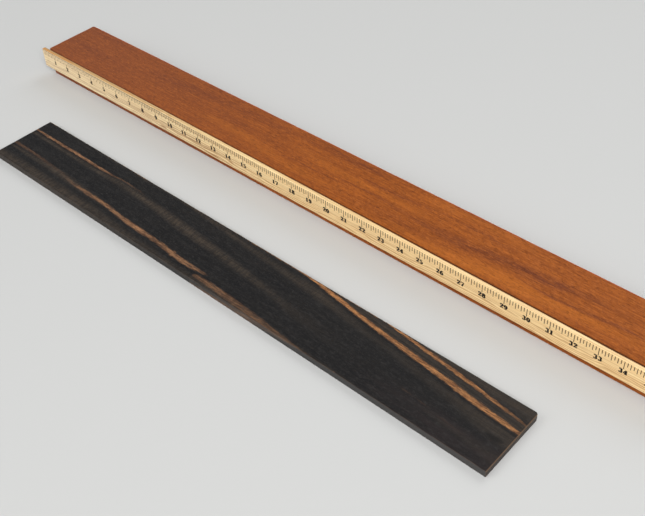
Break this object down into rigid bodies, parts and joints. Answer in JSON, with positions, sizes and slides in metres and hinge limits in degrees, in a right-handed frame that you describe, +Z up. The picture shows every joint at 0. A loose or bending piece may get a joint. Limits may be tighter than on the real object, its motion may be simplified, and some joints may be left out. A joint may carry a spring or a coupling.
{
  "type": "pair of parallel wooden rules",
  "caption": "Parallel straight wooden rules: a thick mahogany stock with a maple inch scale hung on its front face, and a loose flat ebony rule lying parallel in front of it.",
  "frame": {"origin": "centre of the pair's footprint, on the table plane", "axes": "+X along the inch scale towards the higher numbers, +Y away from the reader, +Z up"},
  "size_m": [0.9144, 0.2386, 0.037],
  "materials": {
    "mahogany": "sanded, thin oil",
    "maple": "satin lacquer",
    "ebony": "planed, unfinished",
    "brass": "turned"
  },
  "bodies": {
    "stock": {"mahogany_stock": "mahogany", "scale_screws": "brass"},
    "scale": {"maple_scale": "maple"},
    "rule": {"ebony_rule": "ebony"}
  },
  "joints": [
    {"name": "scale_slide", "type": "slide", "parent": "stock", "child": "scale", "axis": [1, 0, 0], "range_m": [-0.014, 0.008]},
    {"name": "rule_slide", "type": "slide", "parent": "stock", "child": "rule", "axis": [0, 1, 0], "range_m": [-0.15, 0.0817]}
  ]
}
